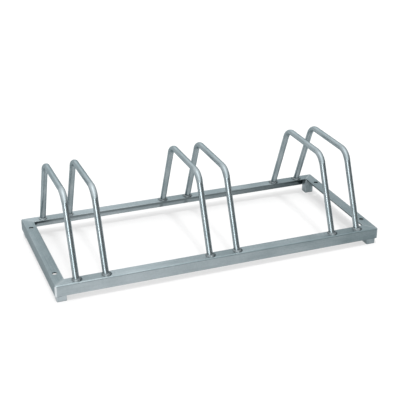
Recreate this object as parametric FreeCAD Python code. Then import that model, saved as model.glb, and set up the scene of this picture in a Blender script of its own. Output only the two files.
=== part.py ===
import FreeCAD, Part
import math
import os

# Floor rack for three bicycles. A welded rectangle of steel angle stands on
# four short square feet and carries three pairs of bent-tube hoops. A wheel
# rolls in between the two hoops of a pair and settles down between the rails.
# Millimetres. The origin is on the floor under the middle of the rectangle,
# +X runs along the rack, -Y is the front, where the wheels roll in, +Z is up.

# Rectangle of steel angle, one leg flat on top and one leg hanging outside
rack_length = 890.0
rack_depth = 400.0
rail_top = 47.0
angle_leg = 30.0
angle_wall = 3.0
angle_inner_bend = 1.5
toe_round = 0.6
corner_seam_width = 2.5

# Holes for floor anchors, in the top leg of the two end rails
anchor_hole_diameter = 12.0
anchor_hole_from_end = 65.0

# Hoops: round steel tube, two straight legs leaning in to a level top bar
hoop_top = 250.0
tube_diameter = 16.0
tube_wall = 1.5
hoop_foot_inset = 17.0
hoop_corner_inset = 100.0
hoop_bend_radius = 40.0
bay_pitch = 350.0
hoop_spacing = 75.0
hoop_weld_leg = 3.6
hoop_weld_bulge = 2.7

# Feet: short square tube under the top legs, inside each corner
foot_width = 25.0
foot_wall = 2.0
foot_corner_round = 2.5
foot_inset = 4.5
foot_weld_leg = 3.0
foot_weld_run = 15.5

# A weld thins out to this where it ends on a face
weld_edge = 0.3

# What follows from them
half_length = rack_length / 2
half_depth = rack_depth / 2
rail_bottom = rail_top - angle_leg
flange_underside = rail_top - angle_wall
angle_outer_bend = angle_inner_bend + angle_wall
tube_radius = tube_diameter / 2
hoop_foot_y = half_depth - hoop_foot_inset
hoop_corner_y = half_depth - hoop_corner_inset
hoop_axis_top = hoop_top - tube_radius
leg_lean = math.atan2(hoop_axis_top - rail_top, hoop_foot_y - hoop_corner_y)

# Solids that cut others reach past them by this much
cut_margin = 5.0
mitre_reach = angle_leg + cut_margin

bays = {1: -bay_pitch, 2: 0.0, 3: bay_pitch}
sides = {"left": -1, "right": 1}
ends = {"front": -1, "back": 1}


def block(x_span, y_span, z_span):
    """A box between two limits on each axis."""
    low, high = zip(x_span, y_span, z_span)
    size = [b - a for a, b in zip(low, high)]
    return Part.makeBox(*size, FreeCAD.Vector(*low))


def prism(outline, low, high):
    """An upright solid over a closed outline of (x, y) points."""
    points = [FreeCAD.Vector(x, y, low) for x, y in outline]
    face = Part.Face(Part.makePolygon(points + points[:1]))
    return face.extrude(FreeCAD.Vector(0, 0, high - low))


def edges_where(shape, test):
    """The edges whose two ends both pass a test on their points."""
    return [edge for edge in shape.Edges if all(test(vertex.Point) for vertex in edge.Vertexes)]


def is_upright(edge):
    return abs(edge.tangentAt(edge.FirstParameter).z) > 0.99


def upright_edges(shape):
    return [edge for edge in shape.Edges if is_upright(edge)]


def edges_at_height(shape, height):
    return edges_where(shape, lambda point: abs(point.z - height) < 1e-6)


# ---------------------------------------------------------------- rectangle
# The four rails have one section. They are cut out of one ring, so that the
# mitres, the bend of the angle and the ground-round corners all line up.

def angle_ring():
    """The whole rectangle of angle, outside bends and corners rounded."""
    body = block((-half_length, half_length), (-half_depth, half_depth), (rail_bottom, rail_top))
    body = body.makeFillet(angle_outer_bend, upright_edges(body) + edges_at_height(body, rail_top))
    inside_x = half_length - angle_wall
    inside_y = half_depth - angle_wall
    below = rail_bottom - cut_margin
    hollow = block((-inside_x, inside_x), (-inside_y, inside_y), (below, flange_underside))
    roof_edges = edges_at_height(hollow, flange_underside)
    hollow = hollow.makeFillet(angle_inner_bend, upright_edges(hollow) + roof_edges)
    toe_x = half_length - angle_leg
    toe_y = half_depth - angle_leg
    window = block((-toe_x, toe_x), (-toe_y, toe_y), (below, rail_top + cut_margin))
    ring = body.cut(hollow).cut(window)
    toes = edges_where(ring, lambda point: abs(point.x) < toe_x + 1e-6 and abs(point.y) < toe_y + 1e-6)
    return ring.makeFillet(toe_round, [edge for edge in toes if not is_upright(edge)])


def mitred_rail(ring, along_x, sign):
    """One rail of the ring, between the seams at its two mitred ends."""
    half_run, half_across = (half_length, half_depth) if along_x else (half_depth, half_length)
    half_outer = half_run - corner_seam_width / math.sqrt(2)
    outline = [(-half_outer - cut_margin, half_across + cut_margin),
               (half_outer + cut_margin, half_across + cut_margin),
               (half_outer - mitre_reach, half_across - mitre_reach),
               (-half_outer + mitre_reach, half_across - mitre_reach)]
    outline = [(run, sign * across) for run, across in outline]
    if not along_x:
        outline = [(across, run) for run, across in outline]
    return ring.common(prism(outline, rail_bottom - cut_margin, rail_top + cut_margin))


def corner_seam(ring, x_sign, y_sign):
    """The weld that fills a mitre, ground flush on top and outside."""
    half_width = corner_seam_width / math.sqrt(8)
    outline = [(cut_margin - half_width, cut_margin + half_width),
               (cut_margin + half_width, cut_margin - half_width),
               (-mitre_reach + half_width, -mitre_reach - half_width),
               (-mitre_reach - half_width, -mitre_reach + half_width)]
    outline = [(x_sign * (half_length + a), y_sign * (half_depth + b)) for a, b in outline]
    return ring.common(prism(outline, rail_bottom - cut_margin, rail_top + cut_margin))


def drill_anchor_holes(rail, x_sign):
    """Two plain holes, in the middle of an end rail's top leg."""
    for y_sign in ends.values():
        centre = FreeCAD.Vector(x_sign * (half_length - angle_leg / 2),
                                y_sign * (half_depth - anchor_hole_from_end), rail_bottom)
        rail = rail.cut(Part.makeCylinder(anchor_hole_diameter / 2, mitre_reach, centre))
    return rail


# -------------------------------------------------------------------- hoops
# Each hoop is one tube, bent twice, its two ends cut level so that they
# stand on the middle of the flat part of the rails' top legs.

def hoop_path(x):
    """Centre line of a hoop. It runs on below the rails, to be cut level."""
    drop = tube_diameter * math.sin(leg_lean)
    drift = tube_diameter * math.cos(leg_lean)
    corners = [(-hoop_foot_y - drift, rail_top - drop), (-hoop_corner_y, hoop_axis_top),
               (hoop_corner_y, hoop_axis_top), (hoop_foot_y + drift, rail_top - drop)]
    points = [FreeCAD.Vector(x, y, z) for y, z in corners]
    edges = []
    start = points[0]
    for before, corner, after in zip(points, points[1:], points[2:]):
        back = (before - corner).normalize()
        ahead = (after - corner).normalize()
        half_angle = back.getAngle(ahead) / 2
        reach = hoop_bend_radius / math.tan(half_angle)
        towards_centre = (back + ahead).normalize()
        bow = hoop_bend_radius / math.sin(half_angle) - hoop_bend_radius
        bend_start = corner + back * reach
        bend_end = corner + ahead * reach
        edges.append(Part.LineSegment(start, bend_start).toShape())
        edges.append(Part.Arc(bend_start, corner + towards_centre * bow, bend_end).toShape())
        start = bend_end
    edges.append(Part.LineSegment(start, points[-1]).toShape())
    return Part.Wire(edges)


def swept_rod(path, radius):
    """A round rod along a path."""
    start = path.OrderedVertexes[0].Point
    direction = path.OrderedEdges[0].tangentAt(path.OrderedEdges[0].FirstParameter)
    section = Part.Wire(Part.makeCircle(radius, start, direction))
    return path.makePipeShell([section], True, False)


def hoop(x):
    """A bent tube, cut level where it stands on the rails."""
    path = hoop_path(x)
    tube = swept_rod(path, tube_radius).cut(swept_rod(path, tube_radius - tube_wall))
    beside = (x - tube_diameter, x + tube_diameter)
    above_rails = block(beside, (-half_depth, half_depth), (rail_top, hoop_top + cut_margin))
    return tube.common(above_rails)


def level_ellipse(x, y, z, grow):
    """The tube's outline cut level at a height, grown outwards by some margin."""
    across = tube_radius + grow
    along = tube_radius / math.sin(leg_lean) + grow
    centre = FreeCAD.Vector(x, y, z)
    outline = Part.Ellipse(centre, along, across).toShape()
    outline.rotate(centre, FreeCAD.Vector(0, 0, 1), 90)
    return Part.Wire(outline)


def hoop_weld(x, y_sign):
    """The fillet weld all round a hoop's leg where it stands on a rail."""
    outline = ((0.0, hoop_weld_leg), (hoop_weld_leg / 2, hoop_weld_bulge), (hoop_weld_leg, weld_edge))
    rings = []
    for height, grow in outline:
        y = y_sign * (hoop_foot_y - height / math.tan(leg_lean))
        rings.append(level_ellipse(x, y, rail_top + height, grow))
    bead = Part.makeLoft(rings, True, True)
    lean = FreeCAD.Vector(0, -y_sign * math.cos(leg_lean), math.sin(leg_lean))
    standing_on = FreeCAD.Vector(x, y_sign * hoop_foot_y, rail_top)
    leg = Part.makeCylinder(tube_radius, 2 * tube_diameter, standing_on - lean * tube_diameter, lean)
    return bead.cut(leg)


# --------------------------------------------------------------------- feet

def foot_body(x_sign, y_sign, width, height, corner_round):
    """An upright square bar where a foot stands."""
    middle = foot_inset + foot_width / 2
    x = x_sign * (half_length - middle)
    y = y_sign * (half_depth - middle)
    bar = block((x - width / 2, x + width / 2), (y - width / 2, y + width / 2), (0, height))
    return bar.makeFillet(corner_round, upright_edges(bar))


def foot(x_sign, y_sign):
    """A short square tube, open below, its top end against the top leg."""
    outside = foot_body(x_sign, y_sign, foot_width, flange_underside, foot_corner_round)
    bore_round = foot_corner_round - foot_wall / 2
    inside = foot_body(x_sign, y_sign, foot_width - 2 * foot_wall, flange_underside, bore_round)
    return outside.cut(inside)


def foot_weld(x_sign, y_sign):
    """The weld along the rails' lower edges, on the foot's two outer faces."""
    far = foot_inset + foot_weld_run
    rings = []
    for drop, near in ((0.0, foot_inset - foot_weld_leg), (foot_weld_leg, foot_inset - weld_edge)):
        square = [(near, near), (far, near), (far, far), (near, far)]
        points = [FreeCAD.Vector(x_sign * (half_length - a), y_sign * (half_depth - b), rail_bottom - drop)
                  for a, b in square]
        rings.append(Part.makePolygon(points + points[:1]))
    bead = Part.makeLoft(rings, True, True)
    return bead.cut(foot_body(x_sign, y_sign, foot_width, flange_underside, foot_corner_round))


# ----------------------------------------------------------------- assembly

def build_nodes():
    """Every piece of the rack under its name."""
    ring = angle_ring()
    nodes = {}
    for end, sign in ends.items():
        nodes[f"{end}_rail"] = mitred_rail(ring, True, sign)
    for side, sign in sides.items():
        rail = mitred_rail(ring, False, sign)
        nodes[f"{side}_end_rail"] = drill_anchor_holes(rail, sign)
    for end, y_sign in ends.items():
        for side, x_sign in sides.items():
            nodes[f"corner_weld_{end}_{side}"] = corner_seam(ring, x_sign, y_sign)
            nodes[f"foot_{end}_{side}"] = foot(x_sign, y_sign)
            nodes[f"foot_weld_{end}_{side}"] = foot_weld(x_sign, y_sign)
    for bay, centre in bays.items():
        for side, x_sign in sides.items():
            x = centre + x_sign * hoop_spacing / 2
            nodes[f"hoop_{bay}_{side}"] = hoop(x)
            for end, y_sign in ends.items():
                nodes[f"hoop_weld_{bay}_{side}_{end}"] = hoop_weld(x, y_sign)
    return nodes


os.makedirs("parts", exist_ok=True)
for name, shape in build_nodes().items():
    print(name, "volume", round(shape.Volume, 1), "solids", len(shape.Solids), "valid", shape.isValid())
    shape.exportStep(f"parts/{name}.step")
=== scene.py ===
import math

import bmesh
import bpy
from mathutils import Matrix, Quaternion, Vector


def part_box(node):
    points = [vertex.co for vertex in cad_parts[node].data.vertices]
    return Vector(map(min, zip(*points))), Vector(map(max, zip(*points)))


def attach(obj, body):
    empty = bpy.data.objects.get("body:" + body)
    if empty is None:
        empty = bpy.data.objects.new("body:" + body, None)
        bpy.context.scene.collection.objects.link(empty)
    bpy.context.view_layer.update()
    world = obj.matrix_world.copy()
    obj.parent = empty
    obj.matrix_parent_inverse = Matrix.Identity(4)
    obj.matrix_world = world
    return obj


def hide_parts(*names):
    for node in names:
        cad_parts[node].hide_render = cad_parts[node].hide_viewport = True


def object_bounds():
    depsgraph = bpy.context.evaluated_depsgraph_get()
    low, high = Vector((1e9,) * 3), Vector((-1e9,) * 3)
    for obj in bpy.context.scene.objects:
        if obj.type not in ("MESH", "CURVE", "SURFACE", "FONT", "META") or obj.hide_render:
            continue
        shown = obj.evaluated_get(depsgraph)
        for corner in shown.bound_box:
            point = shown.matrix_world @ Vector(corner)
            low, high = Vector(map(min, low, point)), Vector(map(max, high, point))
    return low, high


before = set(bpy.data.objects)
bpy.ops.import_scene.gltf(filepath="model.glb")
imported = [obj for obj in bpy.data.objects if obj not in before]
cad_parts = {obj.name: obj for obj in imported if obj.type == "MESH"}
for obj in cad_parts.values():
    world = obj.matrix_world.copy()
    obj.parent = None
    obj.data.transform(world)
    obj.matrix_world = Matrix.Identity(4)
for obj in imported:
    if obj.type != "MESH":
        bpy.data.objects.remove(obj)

cad_low, cad_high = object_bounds()

# ---------------------------------------------------------------- the rails
# Four lengths of hot-rolled steel angle, mitred and welded to a rectangle: one
# leg lies flat on top and the other hangs down outside. Each end rail has two
# drilled holes for floor anchors. The zinc on them is satin and a little cloudy.

half_length = cad_high.x
half_depth = cad_high.y
rail_bottom, rail_top = (corner.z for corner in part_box("front_rail"))
angle_leg = rail_top - rail_bottom
angle_wall = 0.003
angle_inner_bend = 0.0015
angle_outer_bend = angle_inner_bend + angle_wall
toe_round = 0.0006
flange_underside = rail_top - angle_wall
seam_width = 0.0025
anchor_hole_radius = 0.006
anchor_hole_from_end = 0.065
anchor_hole_chamfer = 0.0004

# Where the hoops stand on the long rails
hoop_low, hoop_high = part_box("hoop_3_right")
tube_radius = (hoop_high.x - hoop_low.x) / 2
pair_spacing = hoop_high.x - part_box("hoop_3_left")[1].x
bay_pitch = hoop_high.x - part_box("hoop_2_right")[1].x
hoop_foot_inset = 0.017

# How far each ring of a mitred end lies from the mitre, and the rings on the straight between
mitre_steps = [0.5 * seam_width, 0.0019, 0.0026, 0.0033, 0.0042]
mitre_room = 0.009
rail_stations = 32
bend_facets = 8
toe_facets = 3
hole_facets = 64
sharp_edge_angle = math.radians(32)

# The distances between which marks and painted shade on the zinc fade: from the mitre, two from a
# leg's middle, along the rail from a pair's middle, and from the rail's outer edge, for its bend
# and its inner toe
grinding_fade = (0.016, 0.008)
tarnish_and_shade_fade = (0.017, 0.012)
weld_shade_fade = (0.0165, 0.0130)
between_legs_fade = (0.046, 0.028)
outer_edge_fade = (0.0055, 0.0015)
toe_edge_fade = (angle_leg - 0.0016, angle_leg - 0.0006)

metallic_share = 0.88
zinc_dull = (0.168, 0.216, 0.230, 1)
zinc_pale = (0.420, 0.474, 0.498, 1)
zinc_rubbed = (0.460, 0.520, 0.540, 1)
# A painted highlight
painted_highlight_zinc = (0.70, 0.74, 0.76, 1)
# Tarnish with painted shade
tarnish_and_shade = (0.096, 0.134, 0.142, 1)
# Painted shade
painted_shade_grey = (0.014, 0.024, 0.028, 1)
rail_rim = (0.50, 0.54, 0.56, 1)


class Reading:
    """One output of a node. Sums with it are written in Python and add their own nodes."""

    def __init__(self, socket):
        self.socket = socket

    @classmethod
    def node(cls, tree, kind, settings=None, inputs=None, output=0):
        """Adds a node, its settings first, then the values or links of its sockets."""
        made = tree.nodes.new(kind)
        for name, value in (settings or {}).items():
            if name == "captures":
                for data_type, label in value:
                    made.capture_items.new(data_type, label)
            else:
                setattr(made, name, value)
        for key, value in (inputs or {}).items():
            if isinstance(value, cls):
                tree.links.new(value.socket, made.inputs[key])
            else:
                made.inputs[key].default_value = value
        return cls(made.outputs[output]) if made.outputs else made

    def also(self, output):
        """Another output of the same node."""
        return Reading(self.socket.node.outputs[output])

    def maths(self, operation, *others):
        """The result of a Math node on this reading and others."""
        values = dict(enumerate((self,) + others))
        return Reading.node(self.socket.id_data, "ShaderNodeMath", {"operation": operation}, values)

    def after(self, operation, first):
        """The result of a Math node with this reading as its second value."""
        values = {0: first, 1: self}
        return Reading.node(self.socket.id_data, "ShaderNodeMath", {"operation": operation}, values)

    def vector_maths(self, operation, *others):
        """The result of a Vector Math node on this reading and others."""
        values = dict(enumerate((self,) + others))
        settings = {"operation": operation}
        output = 1 if operation in ("DOT_PRODUCT", "LENGTH") else 0
        return Reading.node(self.socket.id_data, "ShaderNodeVectorMath", settings, values, output)

    def __add__(self, other):
        return self.maths("ADD", other)

    def __sub__(self, other):
        return self.maths("SUBTRACT", other)

    def __rsub__(self, other):
        return self.after("SUBTRACT", other)

    def __mul__(self, other):
        return self.maths("MULTIPLY", other)

    def __truediv__(self, other):
        return self.maths("DIVIDE", other)

    __radd__ = __add__
    __rmul__ = __mul__

    def __abs__(self):
        return self.maths("ABSOLUTE")

    def rise(self, low, high):
        """0 below low, 1 above high and a smooth step between. High may be the lower of the two."""
        settings = {"interpolation_type": "SMOOTHSTEP"}
        values = {"Value": self, "From Min": low, "From Max": high}
        return Reading.node(self.socket.id_data, "ShaderNodeMapRange", settings, values)

    def parts(self):
        """The x, y and z of a vector."""
        split = Reading.node(self.socket.id_data, "ShaderNodeSeparateXYZ", None, {0: self})
        return split, split.also("Y"), split.also("Z")

    def blend(self, first, second):
        """A mix of two colours by this reading."""
        values = {0: self, 6: first, 7: second}
        settings = {"data_type": "RGBA", "clamp_factor": True}
        return Reading.node(self.socket.id_data, "ShaderNodeMix", settings, values, 2)

    def noise(self, scale, detail=2.0, stretch=(1, 1, 1)):
        """Noise at this place, stretched along the axes by dividing its scale there."""
        along = {0: self, 1: tuple(scale / s for s in stretch)}
        place = Reading.node(self.socket.id_data, "ShaderNodeVectorMath", {"operation": "MULTIPLY"}, along)
        values = {"Vector": place, "Scale": 1.0, "Detail": detail}
        return Reading.node(self.socket.id_data, "ShaderNodeTexNoise", None, values)


def joined(x, y, z):
    """A vector from three readings."""
    return Reading.node(x.socket.id_data, "ShaderNodeCombineXYZ", None, {0: x, 1: y, 2: z})


def metal(name, describe, rim=(1, 1, 1, 1)):
    """A metal described by a function of its node tree. Rim tints its reflections at a grazing angle."""
    material = bpy.data.materials.new(name)
    material.use_nodes = True
    tree = material.node_tree
    tree.nodes.clear()
    colour, roughness, relief = describe(tree)
    normal = Reading.node(tree, "ShaderNodeBump", None, {"Height": relief, "Distance": 1.0})
    values = {"Base Color": colour, "Metallic": metallic_share, "Roughness": roughness, "Normal": normal,
              "Specular Tint": rim}
    surface = Reading.node(tree, "ShaderNodeBsdfPrincipled", None, values)
    Reading.node(tree, "ShaderNodeOutputMaterial", None, {"Surface": surface})
    return material


def rail_steel(along_x):
    """Zinc on angle, drawn along the rail, rubbed and tarnished by the legs; painted shade right and
    inside, painted highlight.
    """
    def describe(tree):
        place = Reading.node(tree, "ShaderNodeTexCoord", output="Object")
        x, y, height = place.parts()
        run, inset = (x, half_depth - abs(y)) if along_x else (y, half_length - abs(x))
        from_corner = (half_length if along_x else half_depth) - abs(run)
        below_top = rail_top - height
        drawn = joined(run, inset, height)
        cloud = drawn.noise(24, 3, (2.2, 1, 1))
        bloom = drawn.noise(170, 2)
        lines = drawn.noise(520, 3, (70, 1, 1))
        # Painted shade: the long rails darken from left to right, most on their outer face and at their
        # right end, and the end rails' outer faces are darker
        on_outer_face = inset.rise(angle_outer_bend, 0.001)
        towards_right_end = x.rise(0.20, half_length)
        if along_x:
            painted_shade_drift = x.rise(-half_length, half_length) * (0.26 + on_outer_face * 0.28) + towards_right_end * 0.22 - 0.32
        else:
            painted_shade_drift = on_outer_face * 0.22 + towards_right_end * 0.04
        # Painted shade: the top faces are darker
        on_top = inset.rise(0.0020, angle_outer_bend)
        tone = cloud.rise(0.30, 0.70) * 0.20 + bloom * 0.28 + lines * 0.50 - painted_shade_drift - on_top * 0.20
        ground = (bloom * 0.012 + abs(from_corner - inset)).rise(*grinding_fade)
        # Painted shade: the ground zone is darker at the right corners
        tone = tone - ground * x.rise(0.0, 0.3) * 0.35
        on_bend = inset.maths("MAXIMUM", below_top).rise(*outer_edge_fade)
        # Painted shade along the rounded top edge of the long rails, against the highlight there
        if along_x:
            tone = tone - on_bend * 0.40
        rubbed = inset.rise(*toe_edge_fade).maths("MAXIMUM", on_bend * 0.3)
        rubbed = rubbed * drawn.noise(60, 3, (4, 1, 1)).rise(0.35, 0.65)

        # Painted shade inside the angle, under the flat leg: deepest near the corners and towards the right
        inside = inset.rise(angle_wall - 0.0006, angle_wall - 0.0002) * below_top.rise(0.0006, 0.0026)
        past_foot = from_corner.rise(0.036, 0.046)
        painted_dark = inside * (height - past_foot * 0.0070).rise(0.0165, 0.0225)
        painted_dark = painted_dark * (1 - from_corner.rise(0.055, 0.095) * 0.40)
        painted_dark = painted_dark.maths("MAXIMUM", inside * x.rise(-0.05, 0.30) * 0.50)

        colour = (ground * 0.20).blend(tone.blend(zinc_dull, zinc_pale), zinc_rubbed)
        roughness = 0.47 - tone * 0.12 - rubbed * 0.08 - ground * 0.05
        if along_x:
            # Heat tarnish with painted shade in a ring round each leg, and painted shade on the top between
            # a pair's legs. More painted shade beside the front welds on their right, and on the back rail
            # all round, but not at the left pair
            off_centre = x - (x / bay_pitch).maths("ROUND") * bay_pitch
            outward_gap = abs(off_centre) - pair_spacing / 2
            from_leg = outward_gap.maths("POWER", 2) + (inset - hoop_foot_inset).maths("POWER", 2)
            from_leg = from_leg.maths("SQRT")
            tarnish_and_shade_ring = (bloom * 0.006 + from_leg).rise(*tarnish_and_shade_fade)
            painted_shade_between_legs = on_top * abs(off_centre).rise(*between_legs_fade)
            colour = (tarnish_and_shade_ring * 0.40).maths("MAXIMUM", painted_shade_between_legs * 0.36).blend(colour, tarnish_and_shade)
            roughness = roughness + tarnish_and_shade_ring * 0.10
            shaded = (outward_gap * off_centre.maths("SIGN")).rise(-0.004, 0.006) * y.rise(0.1, -0.1)
            shaded = shaded.maths("MAXIMUM", y.rise(-0.1, 0.1) * x.rise(-0.3, 0.0) * 0.6)
            painted_dark = painted_dark.maths("MAXIMUM", from_leg.rise(*weld_shade_fade) * shaded * 0.95)
        else:
            # Painted shade in and round the anchor holes
            from_hole = (from_corner - anchor_hole_from_end).maths("POWER", 2)
            from_hole = (from_hole + (inset - angle_leg / 2).maths("POWER", 2)).maths("SQRT")
            bore = from_hole.rise(anchor_hole_radius + 0.0006, anchor_hole_radius)
            painted_dark = painted_dark.maths("MAXIMUM", bore * 0.85)

        colour = (rubbed * 0.28).blend(colour, zinc_rubbed)
        # A painted highlight down the upright edge at the left corners
        corner = from_corner.rise(0.0055, 0.0030) * below_top.rise(0.001, 0.004)
        colour = (corner * x.rise(0.1, -0.1) * 0.85).blend(colour, painted_highlight_zinc)
        colour = (painted_dark * 0.95).blend(colour, painted_shade_grey)
        cross = joined(run + inset, height, run - inset).noise(1400, 1, (12, 12, 1))
        relief = cloud * 0.00035 + bloom * 0.00004 + lines * 0.00002 + ground * cross * 0.00002
        return colour, roughness, relief
    return metal("rail steel along x" if along_x else "rail steel along y", describe, rail_rim)


def arc(centre, radius, start, stop, facets):
    """Points on an arc from one angle, in degrees, to another."""
    angles = [math.radians(start + (stop - start) * step / facets) for step in range(facets + 1)]
    return [(centre[0] + radius * math.cos(a), centre[1] + radius * math.sin(a)) for a in angles]


def angle_section():
    """The outline of the angle as (inset from outside, height) points."""
    toe = toe_round
    root = (angle_outer_bend, flange_underside - angle_inner_bend)
    return (arc((toe, rail_bottom + toe), toe, 270, 180, toe_facets)
            + arc((angle_outer_bend, rail_top - angle_outer_bend), angle_outer_bend, 180, 90, bend_facets)
            + arc((angle_leg - toe, rail_top - toe), toe, 90, 0, toe_facets)
            + arc((angle_leg - toe, flange_underside + toe), toe, 0, -90, toe_facets)
            + arc(root, angle_inner_bend, 90, 180, bend_facets)
            + arc((angle_wall - toe, rail_bottom + toe), toe, 0, -90, toe_facets))


def corner_point(inset, across):
    """The point of the rounded corner that lies this far across the mitre, as (from end, from side)."""
    radius = angle_outer_bend - inset
    if abs(across) >= radius * math.sqrt(0.5):
        point = (inset + abs(across) * math.sqrt(2), inset)
    else:
        turn = math.pi / 4 - math.asin(abs(across) / radius)
        point = (angle_outer_bend - radius * math.sin(turn), angle_outer_bend - radius * math.cos(turn))
    return point if across >= 0 else point[::-1]


def closed_mesh(name, rings, looped=False):
    """A mesh through rings of points with the same count, its ends closed unless they meet."""
    shape = bmesh.new()
    rows = [[shape.verts.new(point) for point in ring] for ring in rings]
    for low, high in zip(rows, rows[1:] + rows[:1] * looped):
        for k in range(len(low)):
            shape.faces.new((low[k - 1], low[k], high[k], high[k - 1]))
    if not looped:
        shape.faces.new(rows[0])
        shape.faces.new(rows[-1])
    bmesh.ops.recalc_face_normals(shape, faces=shape.faces)
    mesh = bpy.data.meshes.new(name)
    shape.to_mesh(mesh)
    shape.free()
    return mesh


def show(name, mesh):
    """A new object with this mesh."""
    piece = bpy.data.objects.new(name, mesh)
    bpy.context.scene.collection.objects.link(piece)
    return piece


def bake_down(piece):
    """Turns what a piece's modifiers make into its plain mesh."""
    seen = piece.evaluated_get(bpy.context.evaluated_depsgraph_get())
    piece.data = bpy.data.meshes.new_from_object(seen)
    piece.modifiers.clear()


def fit(piece, material, slot, *nodes):
    """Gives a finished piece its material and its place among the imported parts."""
    piece.data.shade_smooth()
    piece.data.set_sharp_from_angle(angle=sharp_edge_angle)
    piece.modifiers.new("flat faces stay flat", "WEIGHTED_NORMAL").keep_sharp = True
    bake_down(piece)
    piece.data.materials.clear()
    piece.data.materials.append(material)
    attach(piece, "root")
    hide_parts(*nodes)


def rail_mesh(name, along_x, sign):
    """One mitred rail. Its rings are parallel to the mitres near its ends."""
    half_run, half_across = (half_length, half_depth) if along_x else (half_depth, half_length)
    section = angle_section()
    straight = half_run - angle_leg - mitre_room
    runs = [straight * (2 * k / rail_stations - 1) for k in range(rail_stations + 1)]
    rings = []
    for end in (-1, 1):
        for across in mitre_steps if end < 0 else reversed(mitre_steps):
            ring = []
            for inset, height in section:
                from_end, from_side = corner_point(inset, across)
                ring.append((end * (half_run - from_end), sign * (half_across - from_side), height))
            rings.append(ring)
        if end < 0:
            for run in runs:
                rings.append([(run, sign * (half_across - inset), height) for inset, height in section])
    if not along_x:
        rings = [[(across, run, height) for run, across, height in ring] for ring in rings]
    return closed_mesh(name, rings)


def hole_cutter(x, y):
    """A drill with a shoulder that takes the sharp edge off the hole."""
    outline = [(anchor_hole_radius, rail_bottom), (anchor_hole_radius, rail_top - anchor_hole_chamfer),
               (anchor_hole_radius + 2 * anchor_hole_chamfer, rail_top + anchor_hole_chamfer)]
    turns = [2 * math.pi * k / hole_facets for k in range(hole_facets)]
    rings = [[(x + radius * math.cos(t), y + radius * math.sin(t), height) for t in turns]
             for radius, height in outline]
    return show("drill", closed_mesh("drill", rings))


def drill(rail, x_sign):
    """Drills an end rail's two anchor holes."""
    for y_sign in (-1, 1):
        x = x_sign * (half_length - angle_leg / 2)
        y = y_sign * (half_depth - anchor_hole_from_end)
        cutter = hole_cutter(x, y)
        hole = rail.modifiers.new("anchor hole", "BOOLEAN")
        hole.operation = "DIFFERENCE"
        hole.object = cutter
        bake_down(rail)
        bpy.data.objects.remove(cutter)


ends = {"front": -1, "back": 1}
sides = {"left": -1, "right": 1}

long_rail_steel = rail_steel(True)
end_rail_steel = rail_steel(False)
for end, sign in ends.items():
    rail = show(f"{end}_angle", rail_mesh(f"{end}_angle", True, sign))
    fit(rail, long_rail_steel, "rail_steel", f"{end}_rail")
for side, sign in sides.items():
    rail = show(f"{side}_end_angle", rail_mesh(f"{side}_end_angle", False, sign))
    drill(rail, sign)
    fit(rail, end_rail_steel, "rail_steel", f"{side}_end_rail")


# -------------------------------------------------------- the mitre welds
# Each mitre is filled with weld and ground flush on top and outside. It stays
# a little proud and paler, with grinding marks across it.

seam_crown = 0.00018
seam_rings = 7
seam_pale = (0.42, 0.47, 0.49, 1)
seam_grey = (0.20, 0.24, 0.255, 1)
# A painted highlight
seam_painted_highlight = (0.68, 0.72, 0.74, 1)


def ground_weld(tree):
    """Ground weld metal: pale, scratched across, with dark pits left in it; a painted highlight on its
    upright part.
    """
    place = Reading.node(tree, "ShaderNodeTexCoord", output="Object")
    scratches = place.noise(1500, 2, (1, 14, 6))
    patches = place.noise(210, 3)
    pits = place.noise(620, 1).rise(0.36, 0.30)
    tone = scratches * 0.5 + patches * 0.5
    upright = (rail_top - place.parts()[2]).rise(0.001, 0.006)
    # Painted highlight on the upright part of the seam
    colour = (upright * 0.8).blend(tone.blend(seam_grey, seam_pale), seam_painted_highlight)
    colour = (pits * 0.7).blend(colour, tarnish_and_shade)
    relief = scratches * 0.00003 + patches * 0.00012 - pits * 0.00010
    return colour, 0.46 - patches * 0.16, relief


def seam_mesh(name, x_sign, y_sign):
    """The weld between two rails' ends, crowned across its width on the two outer faces."""
    section = angle_section()
    rings = []
    for k in range(seam_rings):
        share = 2 * k / (seam_rings - 1) - 1
        ring = []
        for inset, height in section:
            proud = seam_crown * (1 - share * share)
            outside = inset < angle_wall / 2 or height > flange_underside + angle_wall / 2
            lift = proud if outside else 0
            from_end, from_side = corner_point(inset, share * seam_width / 2)
            on_top = (height - rail_top + angle_outer_bend) / angle_outer_bend
            on_top = min(max(on_top, 0), 1)
            out = lift * (1 - on_top)
            ring.append((x_sign * (half_length - from_end + out), y_sign * (half_depth - from_side + out),
                         height + lift * on_top))
        rings.append(ring)
    return closed_mesh(name, rings)


mitre_weld_metal = metal("ground weld", ground_weld)
for end, y_sign in ends.items():
    for side, x_sign in sides.items():
        seam = show(f"mitre_weld_{end}_{side}", seam_mesh("mitre weld", x_sign, y_sign))
        fit(seam, mitre_weld_metal, "weld_steel", f"corner_weld_{end}_{side}")


# ----------------------------------------------------------------- the feet
# Short lengths of square tube with rounded corners, sawn off square. Each
# stands on the floor on its open end, inside a corner under the flat leg.

foot_low, foot_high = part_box("foot_front_left")
foot_half_width = (foot_high.x - foot_low.x) / 2
foot_inset = foot_low.x - cad_low.x
foot_wall = 0.002
foot_corner = 0.0025
foot_corner_facets = 6
saw_chamfer = 0.00035


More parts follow.
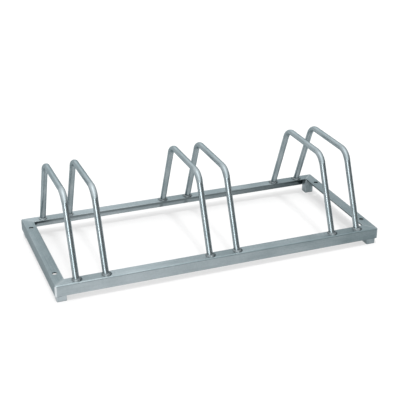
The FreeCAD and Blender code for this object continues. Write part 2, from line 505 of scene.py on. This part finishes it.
def foot_steel(tree):
    """Zinc on square tube, drawn up and down, painted paler on the left, scuffed where it meets the floor.
    """
    place = Reading.node(tree, "ShaderNodeTexCoord", output="Object")
    x, _, height = place.parts()
    cloud = place.noise(45, 3)
    bloom = place.noise(190, 2)
    lines = place.noise(1000, 2, (1, 1, 50))
    # Painted light: paler on the left and darker on the right
    tone = cloud.rise(0.3, 0.7) * 0.40 + bloom * 0.24 + lines * 0.34 + x.rise(0.3, -0.3) * 0.75 - 0.22
    scuff = (height + bloom * 0.004).rise(0.006, 0.002)
    colour = (scuff * 0.45).blend(tone.blend(zinc_dull, zinc_pale), tarnish_and_shade)
    relief = cloud * 0.0002 + bloom * 0.00004 + lines * 0.00002 - scuff * bloom * 0.00008
    return colour, 0.46 - tone * 0.10 + scuff * 0.14, relief


def rounded_square(x, y, half_width, corner, height):
    """A level square outline with rounded corners."""
    points = []
    for quarter, (a, b) in enumerate(((1, 1), (-1, 1), (-1, -1), (1, -1))):
        centre = (x + a * (half_width - corner), y + b * (half_width - corner))
        start = 90 * quarter
        points += arc(centre, corner, start, start + 90, foot_corner_facets)
    return [(a, b, height) for a, b in points]


def foot_mesh(name, x_sign, y_sign):
    """A square tube, up one side of its wall and down the other."""
    x = x_sign * (half_length - foot_inset - foot_half_width)
    y = y_sign * (half_depth - foot_inset - foot_half_width)
    inner = foot_half_width - foot_wall
    inner_corner = foot_corner / 2
    outline = [(foot_half_width - saw_chamfer, foot_corner, 0), (foot_half_width, foot_corner, saw_chamfer),
               (foot_half_width, foot_corner, flange_underside), (inner, inner_corner, flange_underside),
               (inner, inner_corner, saw_chamfer), (inner + saw_chamfer, inner_corner, 0)]
    rings = [rounded_square(x, y, half_width, corner, height) for half_width, corner, height in outline]
    return closed_mesh(name, rings, looped=True)


foot_metal = metal("foot steel", foot_steel)
for end, y_sign in ends.items():
    for side, x_sign in sides.items():
        foot = show(f"square_foot_{end}_{side}", foot_mesh("square foot", x_sign, y_sign))
        fit(foot, foot_metal, "foot_steel", f"foot_{end}_{side}")


# ----------------------------------------------------------- the foot welds
# A hand-laid bead runs along the rails' lower edges on the two outer faces of
# each foot, round the foot's corner. Its ripples are the welder's steps.

foot_weld_leg = 0.003
foot_weld_run = 0.0155
foot_weld_ripples = 17
bead_facets = 9
steps_per_ripple = 8

# How far a bead's ripples bow across it, how far they wander, and how much its size varies
ripple_bow = 0.42
ripple_wander = 0.9
size_wander = 0.44

# Painted highlight on the crests and painted shade between them
bead_crest_highlight = (0.40, 0.45, 0.47, 1)
bead_valley_shade = (0.040, 0.052, 0.058, 1)


def tree_input(tree, kind, name):
    """A named input of a Geometry Nodes tree."""
    tree.interface.new_socket(name, in_out="INPUT", socket_type=kind)


def weld_bead_tree():
    """A rippled fillet along a line that lies in the corner of two faces, and drops of spatter."""
    tree = bpy.data.node_groups.new("weld bead", "GeometryNodeTree")
    tree_input(tree, "NodeSocketGeometry", "Line")
    for name in ("Leg", "Roundness", "Ripple Height", "Rise", "Lean", "Taper", "Drop Size"):
        tree_input(tree, "NodeSocketFloat", name)
    for name in ("Ripples", "Steps", "Drops", "Seed"):
        tree_input(tree, "NodeSocketInt", name)
    tree_input(tree, "NodeSocketVector", "Drop Middle")
    tree_input(tree, "NodeSocketVector", "Drop Spread")
    tree_input(tree, "NodeSocketFloat", "Drop Clearance")
    tree_input(tree, "NodeSocketMaterial", "Metal")
    tree.interface.new_socket("Bead", in_out="OUTPUT", socket_type="NodeSocketGeometry")

    given = Reading.node(tree, "NodeGroupInput")
    seed = given.also("Seed")
    line = Reading.node(tree, "GeometryNodeMeshToCurve", None, {"Mesh": given})
    steps = given.also("Ripples") * given.also("Steps")
    line = Reading.node(tree, "GeometryNodeResampleCurve", None, {"Curve": line, "Count": steps})
    centre = Reading.node(tree, "GeometryNodeInputPosition")
    tangent = Reading.node(tree, "GeometryNodeInputTangent")
    share = Reading.node(tree, "GeometryNodeSplineParameter", output="Factor")
    captures = {"captures": [("VECTOR", "Centre"), ("VECTOR", "Tangent"), ("FLOAT", "Share")]}
    values = {"Geometry": line, "Centre": centre, "Tangent": tangent, "Share": share}
    line = Reading.node(tree, "GeometryNodeCaptureAttribute", captures, values)
    centre, tangent, share = line.also("Centre"), line.also("Tangent"), line.also("Share")
    values = {"Resolution": bead_facets + 1, "Radius": 0.001}
    section = Reading.node(tree, "GeometryNodeCurvePrimitiveCircle", None, values)
    captures = {"captures": [("INT", "Index")]}
    index = Reading.node(tree, "GeometryNodeInputIndex")
    values = {"Geometry": section, "Index": index}
    section = Reading.node(tree, "GeometryNodeCaptureAttribute", captures, values)
    index = section.also("Index")
    values = {"Curve": line, "Profile Curve": section, "Fill Caps": True}
    bead = Reading.node(tree, "GeometryNodeCurveToMesh", None, values)

    # The last point of the section lies in the corner, the others over the face of the fillet
    on_face = 1 - index.maths("GREATER_THAN", bead_facets - 0.5)
    up_face = (index / (bead_facets - 1)).maths("MINIMUM", 1.0)
    swing = up_face * (math.pi / 2)
    roundness = given.also("Roundness")
    out_share = ((1 - up_face) * (1 - roundness) + swing.maths("COSINE") * roundness) * on_face
    up_share = (up_face * (1 - roundness) + swing.maths("SINE") * roundness) * on_face

    bow = (up_face * 2 - 1).maths("POWER", 2) * ripple_bow
    values = {"Vector": centre, "W": seed * 1.7, "Scale": 260.0, "Detail": 1.0}
    wander = Reading.node(tree, "ShaderNodeTexNoise", {"noise_dimensions": "4D"}, values)
    phase = share * given.also("Ripples") + bow + (wander - 0.5) * ripple_wander
    crest = abs((phase * math.pi).maths("SINE"))
    values = {"Vector": centre, "W": seed * 3.1 + 7, "Scale": 95.0, "Detail": 2.0}
    unsteady = Reading.node(tree, "ShaderNodeTexNoise", {"noise_dimensions": "4D"}, values)
    near_end = share.maths("MINIMUM", 1 - share)
    taper = 1 - given.also("Taper") * near_end.rise(0.14, 0.0)
    overlap = near_end.rise(0.045, 0.0) * (1 - given.also("Taper"))
    size = given.also("Leg") * (1 + (unsteady - 0.5) * size_wander + overlap * 0.12) * taper
    swell = given.also("Ripple Height") * (crest - 0.4) * on_face * taper

    out = size * out_share + swell * swing.maths("COSINE")
    up = (size * up_share + swell * swing.maths("SINE")) * given.also("Rise")
    away = tangent.vector_maths("CROSS_PRODUCT", (0, 0, 1)).vector_maths("NORMALIZE")
    stretch = {"operation": "SCALE"}
    place = Reading.node(tree, "ShaderNodeVectorMath", stretch, {0: away, "Scale": out})
    place = place.vector_maths("ADD", centre)
    lift = Reading.node(tree, "ShaderNodeCombineXYZ", None, {1: up * given.also("Lean"), 2: up})
    place = place.vector_maths("ADD", lift)
    bead = Reading.node(tree, "GeometryNodeSetPosition", None, {"Geometry": bead, "Position": place})
    upside_down = given.also("Rise").maths("LESS_THAN", 0)
    bead = Reading.node(tree, "GeometryNodeFlipFaces", None, {"Mesh": bead, "Selection": upside_down})
    values = {"Geometry": bead, "Name": "crest", "Value": crest * on_face}
    bead = Reading.node(tree, "GeometryNodeStoreNamedAttribute", {"data_type": "FLOAT"}, values)

    # Spatter: small flattened drops, scattered round the bead but clear of it
    spread = given.also("Drop Spread")
    back_spread = Reading.node(tree, "ShaderNodeVectorMath", stretch, {0: spread, "Scale": -1})
    values = {"Min": back_spread, "Max": spread, "Seed": seed}
    scatter = Reading.node(tree, "FunctionNodeRandomValue", {"data_type": "FLOAT_VECTOR"}, values)
    values = {"Count": given.also("Drops"), "Position": scatter}
    drops = Reading.node(tree, "GeometryNodePoints", None, values)
    too_near = Reading.node(tree, "GeometryNodeInputPosition").vector_maths("LENGTH")
    too_near = too_near.maths("LESS_THAN", given.also("Drop Clearance"))
    values = {"Geometry": drops, "Selection": too_near}
    drops = Reading.node(tree, "GeometryNodeDeleteGeometry", None, values)
    values = {"Geometry": drops, "Offset": given.also("Drop Middle")}
    drops = Reading.node(tree, "GeometryNodeSetPosition", None, values)
    drop = Reading.node(tree, "GeometryNodeMeshIcoSphere", None, {"Radius": 1.0, "Subdivisions": 2})
    drop = Reading.node(tree, "GeometryNodeTransform", None, {"Geometry": drop, "Scale": (1, 1, 0.6)})
    values = {2: 0.45, 3: 1.0, "Seed": seed + 11}
    drop_size = Reading.node(tree, "FunctionNodeRandomValue", {"data_type": "FLOAT"}, values, 1)
    drop_size = drop_size * given.also("Drop Size")
    values = {"Points": drops, "Instance": drop, "Scale": drop_size}
    drops = Reading.node(tree, "GeometryNodeInstanceOnPoints", None, values)

    whole = Reading.node(tree, "GeometryNodeJoinGeometry")
    for part in (bead, drops):
        tree.links.new(part.socket, whole.socket.node.inputs["Geometry"])
    whole = Reading.node(tree, "GeometryNodeRealizeInstances", None, {"Geometry": whole})
    values = {"Geometry": whole, "Material": given.also("Metal")}
    whole = Reading.node(tree, "GeometryNodeSetMaterial", None, values)
    Reading.node(tree, "NodeGroupOutput", None, {"Bead": whole})
    return tree


def run_nodes(piece, tree, values):
    """Makes a piece's mesh with a Geometry Nodes tree, its inputs given by name."""
    modifier = piece.modifiers.new(tree.name, "NODES")
    modifier.node_group = tree
    for item in tree.interface.items_tree:
        if item.in_out == "INPUT" and item.name in values:
            modifier[item.identifier] = values[item.name]
    bake_down(piece)


def line_mesh(name, points, closed):
    """A mesh of edges through points, for a bead or a tube to follow."""
    edges = [(k, k + 1) for k in range(len(points) - 1)]
    edges += [(len(points) - 1, 0)] * closed
    mesh = bpy.data.meshes.new(name)
    mesh.from_pydata(points, edges, [])
    return mesh


def weld_metal(tree):
    """Weld as laid: painted highlight on the ripples' crests, painted shade between them, painted paler at
    the back left.
    """
    place = Reading.node(tree, "ShaderNodeTexCoord", output="Object")
    crest = Reading.node(tree, "ShaderNodeAttribute", {"attribute_name": "crest"}, output="Fac")
    x, y, _ = place.parts()
    patches = place.noise(240, 3)
    grain = place.noise(1800, 2)
    # Painted highlight on the crests, painted shade between them, and painted paler at the back left
    tone = crest * 0.55 + patches * 0.45 + y.rise(-0.1, 0.1) * x.rise(0.0, -0.3) * 0.20
    colour = tone.rise(0.38, 0.95).blend(bead_valley_shade, bead_crest_highlight)
    relief = grain * 0.00003 + patches * 0.00010
    return colour, 0.40 - crest * 0.12 + grain * 0.08, relief


def foot_weld_line(x_sign, y_sign):
    """The corner between a foot's outer faces and the rails' lower edges, anticlockwise from above."""
    corner = foot_corner
    near = foot_inset
    bend = arc((near + corner, near + corner), corner, 180, 270, foot_corner_facets)
    points = [(near, near + foot_weld_run)] + bend + [(near + foot_weld_run, near)]
    line = [(x_sign * (half_length - a), y_sign * (half_depth - b), rail_bottom) for a, b in points]
    return line if x_sign * y_sign > 0 else line[::-1]


weld_beads = weld_bead_tree()
bead_metal = metal("weld metal", weld_metal)
for number, (end, y_sign) in enumerate(ends.items()):
    for side, x_sign in sides.items():
        line = foot_weld_line(x_sign, y_sign)
        bead = show(f"foot_bead_{end}_{side}", line_mesh("foot bead", line, False))
        run_nodes(bead, weld_beads, {
            "Leg": foot_weld_leg, "Roundness": 0.35, "Ripple Height": 0.0003, "Rise": -1.0, "Lean": 0.0,
            "Taper": 0.5, "Ripples": foot_weld_ripples, "Steps": steps_per_ripple,
            "Seed": 40 + 2 * number + x_sign, "Drops": 0, "Metal": bead_metal})
        fit(bead, bead_metal, "weld_steel", f"foot_weld_{end}_{side}")


# ---------------------------------------------------------------- the hoops
# Each hoop is one round steel tube, bent cold at two corners on a former. The
# bends are a little flattened and the ends are cut level, to stand on the long
# rails. The zinc on the drawn tube is glossier than on the angle.

hoop_bend_radius = 0.040
hoop_corner_inset = 0.100
hoop_foot_y = half_depth - hoop_foot_inset
hoop_corner_y = half_depth - hoop_corner_inset
hoop_axis_top = hoop_high.z - tube_radius
leg_lean = math.atan2(hoop_axis_top - rail_top, hoop_foot_y - hoop_corner_y)
bend_reach = hoop_bend_radius * math.tan(leg_lean / 2)
tube_facets = 40
hoop_bend_facets = 20
bend_flattening = 0.09

tube_dull = (0.196, 0.248, 0.264, 1)
tube_pale = (0.355, 0.400, 0.420, 1)
tube_rim = (0.46, 0.53, 0.55, 1)
# A painted highlight for the front bends
tube_painted_highlight = (0.52, 0.57, 0.59, 1)


def tube_steel(tree):
    """Zinc on drawn tube: lines along it, hazy bends, painted highlight on the front ones, most on the
    left.
    """
    place = Reading.node(tree, "ShaderNodeTexCoord", output="Object")
    x, y, height = place.parts()
    drawn = Reading.node(tree, "ShaderNodeAttribute", {"attribute_name": "along_tube"}, output="Vector")
    bent = Reading.node(tree, "ShaderNodeAttribute", {"attribute_name": "bent"}, output="Fac")
    cloud = drawn.noise(55, 3, (1, 1, 2.5))
    bloom = drawn.noise(230, 2)
    lines = drawn.noise(1300, 2, (1, 1, 90))
    strain = drawn.noise(420, 2, (3, 3, 1))
    tone = cloud.rise(0.3, 0.7) * 0.45 + bloom * 0.20 + lines * 0.35
    # Heat tarnish with painted shade at the foot of the tube, where it stands on the rail
    tarnish_and_shade_ring = (height + bloom * 0.006).rise(rail_top + 0.014, rail_top + 0.007)
    colour = tone.blend(tube_dull, tube_pale)
    # A painted highlight on the front bends, most on the left
    painted_bend_highlight = bent * y.rise(-0.02, -0.07) * x.rise(0.15, -0.30) * 0.30
    colour = painted_bend_highlight.blend(colour, tube_painted_highlight)
    colour = (tarnish_and_shade_ring * 0.45).blend(colour, tarnish_and_shade)
    roughness = 0.27 - tone * 0.08 + bent * (strain * 0.10 + 0.07) + tarnish_and_shade_ring * 0.12
    relief = cloud * 0.00004 + bent * strain * 0.00003
    return colour, roughness, relief


def bent_tube_tree():
    """A round tube along a bent line, a little flat at its bends, its two ends cut level."""
    tree = bpy.data.node_groups.new("bent tube", "GeometryNodeTree")
    tree_input(tree, "NodeSocketGeometry", "Line")
    for name in ("Tube Radius", "Bend Radius", "Bend Reach", "Corner Y", "Corner Z", "Cut Z", "Flattening"):
        tree_input(tree, "NodeSocketFloat", name)
    for name in ("Facets", "Bend Facets"):
        tree_input(tree, "NodeSocketInt", name)
    tree_input(tree, "NodeSocketMaterial", "Metal")
    tree.interface.new_socket("Tube", in_out="OUTPUT", socket_type="NodeSocketGeometry")

    given = Reading.node(tree, "NodeGroupInput")
    line = Reading.node(tree, "GeometryNodeMeshToCurve", None, {"Mesh": given})
    values = {"Curve": line, "Count": given.also("Bend Facets"), "Radius": given.also("Bend Radius")}
    line = Reading.node(tree, "GeometryNodeFilletCurve", {"mode": "POLY"}, values)
    captures = {"captures": [("VECTOR", "Centre"), ("VECTOR", "Tangent"),
                             ("FLOAT", "Along"), ("BOOLEAN", "Tip")]}
    values = {"Geometry": line,
              "Centre": Reading.node(tree, "GeometryNodeInputPosition"),
              "Tangent": Reading.node(tree, "GeometryNodeInputTangent"),
              "Along": Reading.node(tree, "GeometryNodeSplineParameter", output="Length"),
              "Tip": Reading.node(tree, "GeometryNodeCurveEndpointSelection")}
    line = Reading.node(tree, "GeometryNodeCaptureAttribute", captures, values)
    centre, tangent = line.also("Centre"), line.also("Tangent")
    values = {"Resolution": given.also("Facets"), "Radius": given.also("Tube Radius")}
    section = Reading.node(tree, "GeometryNodeCurvePrimitiveCircle", None, values)
    values = {"Geometry": section, "Section": Reading.node(tree, "GeometryNodeInputPosition")}
    captures = {"captures": [("VECTOR", "Section")]}
    section = Reading.node(tree, "GeometryNodeCaptureAttribute", captures, values)
    values = {"Curve": line, "Profile Curve": section, "Fill Caps": True}
    tube = Reading.node(tree, "GeometryNodeCurveToMesh", None, values)

    from_corner = (abs(centre.parts()[1]) - given.also("Corner Y")).maths("POWER", 2)
    from_corner = from_corner + (centre.parts()[2] - given.also("Corner Z")).maths("POWER", 2)
    reach = given.also("Bend Reach")
    bent = from_corner.maths("SQRT").rise(reach * 1.05, reach * 0.6)
    flat = bent * given.also("Flattening")
    radial = Reading.node(tree, "GeometryNodeInputPosition").vector_maths("SUBTRACT", centre)
    radial = radial.vector_maths("MULTIPLY", joined(1 + flat, 1 - flat, 1 - flat))
    place = radial.vector_maths("ADD", centre)
    slide = (given.also("Cut Z") - place.parts()[2]) / tangent.parts()[2] * line.also("Tip")
    slide = Reading.node(tree, "ShaderNodeVectorMath", {"operation": "SCALE"}, {0: tangent, "Scale": slide})
    values = {"Geometry": tube, "Position": place.vector_maths("ADD", slide)}
    tube = Reading.node(tree, "GeometryNodeSetPosition", None, values)

    across, around, _ = section.also("Section").parts()
    values = {"Geometry": tube, "Name": "along_tube", "Value": joined(across, around, line.also("Along"))}
    tube = Reading.node(tree, "GeometryNodeStoreNamedAttribute", {"data_type": "FLOAT_VECTOR"}, values)
    values = {"Geometry": tube, "Name": "bent", "Value": bent}
    tube = Reading.node(tree, "GeometryNodeStoreNamedAttribute", {"data_type": "FLOAT"}, values)
    tube = Reading.node(tree, "GeometryNodeRealizeInstances", None, {"Geometry": tube})
    values = {"Geometry": tube, "Material": given.also("Metal")}
    tube = Reading.node(tree, "GeometryNodeSetMaterial", None, values)
    Reading.node(tree, "NodeGroupOutput", None, {"Tube": tube})
    return tree


bent_tubes = bent_tube_tree()
tube_metal = metal("tube steel", tube_steel, tube_rim)
hoop_places = {}
for bay in (1, 2, 3):
    for side in sides:
        node_low, node_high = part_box(f"hoop_{bay}_{side}")
        x = (node_low.x + node_high.x) / 2
        hoop_places[f"{bay}_{side}"] = x
        line = [(x, -hoop_foot_y, rail_top), (x, -hoop_corner_y, hoop_axis_top),
                (x, hoop_corner_y, hoop_axis_top), (x, hoop_foot_y, rail_top)]
        tube = show(f"bent_tube_{bay}_{side}", line_mesh("bent tube", line, False))
        run_nodes(tube, bent_tubes, {
            "Tube Radius": tube_radius, "Bend Radius": hoop_bend_radius, "Bend Reach": bend_reach,
            "Corner Y": hoop_corner_y, "Corner Z": hoop_axis_top, "Cut Z": rail_top,
            "Flattening": bend_flattening, "Facets": tube_facets, "Bend Facets": hoop_bend_facets,
            "Metal": tube_metal})
        fit(tube, tube_metal, "tube_steel", f"hoop_{bay}_{side}")


# ---------------------------------------------------------- the hoops' welds
# A fillet weld runs all round the foot of each leg, laid by hand in small
# steps, so that each is a little different. A few drops of spatter lie by it.

hoop_weld_leg = 0.0036
hoop_weld_ripples = 25
hoop_line_points = 48
spatter_drops = 8
spatter_spread = (0.023, 0.009, 0)
spatter_clearance = 0.0135
spatter_size = 0.00065


def leg_outline(x, y, start):
    """The level outline of a leg where it meets the rail, anticlockwise from a starting angle."""
    turns = [start + 2 * math.pi * k / hoop_line_points for k in range(hoop_line_points)]
    return [(x + tube_radius * math.cos(t), y + tube_radius / math.sin(leg_lean) * math.sin(t), rail_top)
            for t in turns]


for number, (hoop_name, x) in enumerate(hoop_places.items()):
    for end, y_sign in ends.items():
        seed = 2 * number + (y_sign > 0)
        y = y_sign * hoop_foot_y
        line = leg_outline(x, y, 2.4 * seed)
        bead = show(f"hoop_bead_{hoop_name}_{end}", line_mesh("hoop bead", line, True))
        run_nodes(bead, weld_beads, {
            "Leg": hoop_weld_leg, "Roundness": 0.5, "Ripple Height": 0.00034, "Rise": 1.0,
            "Lean": -y_sign / math.tan(leg_lean), "Taper": 0.0, "Ripples": hoop_weld_ripples,
            "Steps": steps_per_ripple, "Seed": seed, "Drops": spatter_drops,
            "Drop Middle": (x, y, rail_top), "Drop Spread": spatter_spread,
            "Drop Clearance": spatter_clearance, "Drop Size": spatter_size, "Metal": bead_metal})
        fit(bead, bead_metal, "weld_steel", f"hoop_weld_{hoop_name}_{end}")


# --------------------------------------------------------------- the studio
# A white floor and a soft sky. The key light, above and a little in front, throws
# the shadows. A soft box to the left of the camera draws the line down the tubes.

floor_half = 12.0
floor_drop = 0.0002
paper_grey = (0.26, 0.26, 0.26, 1)
floor_lift = 0.575
key_strength = 1.8
key_angle = 7
key_direction = Vector((-0.10, -0.26, 1.0))
box_azimuth, box_elevation, box_distance = -38, 16, 4.5
box_width, box_height = 1.4, 2.06
box_power = 49.0

# The sky: its plain level, what is added above and behind, and what is taken away low down
sky_level = 0.95
sky_gain = 0.20
overhead_gain = 1.50
backdrop_direction, backdrop_gain = (0.15, 0.88, 0.45), 0.44
dark_direction, dark_loss = (0.743, -0.669, 0), 0.85
dim_direction, dim_loss = (-0.98, -0.2, 0), 0.35
right_loss = 0.28


def seen_white(tree):
    """1 for rays from the camera and for what metal and glass show, else 0."""
    path = Reading.node(tree, "ShaderNodeLightPath", output="Is Camera Ray")
    shown = path + path.also("Is Glossy Ray") + path.also("Is Transmission Ray")
    return shown.maths("MINIMUM", 1.0)


def white_floor():
    """Matt grey paper, lifted to plain white where the camera and the metal see it unshaded."""
    material = bpy.data.materials.new("white floor")
    material.use_nodes = True
    tree = material.node_tree
    tree.nodes.clear()
    paper = Reading.node(tree, "ShaderNodeBsdfDiffuse", None, {"Color": paper_grey})
    glow = Reading.node(tree, "ShaderNodeEmission", None, {"Strength": seen_white(tree) * floor_lift})
    both = Reading.node(tree, "ShaderNodeAddShader", None, {0: paper, 1: glow})
    Reading.node(tree, "ShaderNodeOutputMaterial", None, {"Surface": both})
    return material


def studio_sky():
    """White to the camera. It lights the rack most from above and least from low at the front right."""
    world = bpy.data.worlds.new("studio")
    world.use_nodes = True
    tree = world.node_tree
    tree.nodes.clear()
    direction = Reading.node(tree, "ShaderNodeTexCoord", output="Generated")
    sideways, backwards, height = direction.parts()
    low = height.rise(0.65, 0.35)
    dark_side = direction.vector_maths("DOT_PRODUCT", dark_direction).rise(0.40, 0.80) * dark_loss
    dim_side = direction.vector_maths("DOT_PRODUCT", dim_direction).rise(0.55, 0.90) * dim_loss
    right_fade = sideways.rise(0.0, 0.65) * right_loss
    backdrop = direction.vector_maths("DOT_PRODUCT", backdrop_direction).rise(0.87, 0.99) * backdrop_gain
    overhead = abs(sideways).rise(0.48, 0.12) * height.rise(0.30, 0.60) * backwards.rise(0.62, 0.10)
    level = sky_level + height.rise(0.15, 0.50) * sky_gain + overhead * overhead_gain + backdrop
    level = level * (1 - dark_side * low) * (1 - dim_side * low) * (1 - right_fade * low)
    camera = Reading.node(tree, "ShaderNodeLightPath", output="Is Camera Ray")
    strength = level * (1 - camera) + camera
    sky = Reading.node(tree, "ShaderNodeBackground", None, {"Color": (1, 1, 1, 1), "Strength": strength})
    Reading.node(tree, "ShaderNodeOutputWorld", None, {"Surface": sky})
    return world


def outward(azimuth, elevation):
    """The direction from the rack at an azimuth, 0 being in front, and an elevation, in degrees."""
    a, e = math.radians(azimuth), math.radians(elevation)
    return Vector((math.sin(a) * math.cos(e), -math.cos(a) * math.cos(e), math.sin(e)))


floor_mesh = bpy.data.meshes.new("floor")
corner_signs = ((-1, -1), (1, -1), (1, 1), (-1, 1))
floor_corners = [(a * floor_half, b * floor_half, -floor_drop) for a, b in corner_signs]
floor_mesh.from_pydata(floor_corners, [], [(0, 1, 2, 3)])
floor_mesh.materials.append(white_floor())
show("floor", floor_mesh)
bpy.context.scene.world = studio_sky()

key = bpy.data.lights.new("key", "SUN")
key.energy = key_strength
key.angle = math.radians(key_angle)
key_lamp = show("key", key)
key_lamp.rotation_mode = "QUATERNION"
key_lamp.rotation_quaternion = key_direction.to_track_quat("Z", "Y")
key_lamp.visible_glossy = False

soft_box = bpy.data.lights.new("soft box", "AREA")
soft_box.shape = "RECTANGLE"
soft_box.size, soft_box.size_y = box_width, box_height
soft_box.energy = box_power
box_lamp = show("soft box", soft_box)
box_lamp.location = outward(box_azimuth, box_elevation) * box_distance
box_lamp.rotation_mode = "QUATERNION"
box_lamp.rotation_quaternion = box_lamp.location.to_track_quat("Z", "Y")
box_lamp.visible_camera = False

camera_azimuth, camera_elevation, camera_roll = -21.23, 24.66, 0.13
camera_distance = 2.628
camera_aim = Vector((0.0212, 0.0394, 0.0967))
camera_lens = 86.12
film_width = 36

camera = bpy.data.cameras.new("camera")
camera.lens = camera_lens
camera.sensor_width = film_width
photographer = show("camera", camera)
towards_camera = outward(camera_azimuth, camera_elevation)
photographer.location = camera_aim + towards_camera * camera_distance
photographer.rotation_mode = "QUATERNION"
roll = Quaternion((0, 0, 1), math.radians(camera_roll))
photographer.rotation_quaternion = towards_camera.to_track_quat("Z", "Y") @ roll
bpy.context.scene.camera = photographer
bpy.context.scene.view_settings.view_transform = "Standard"
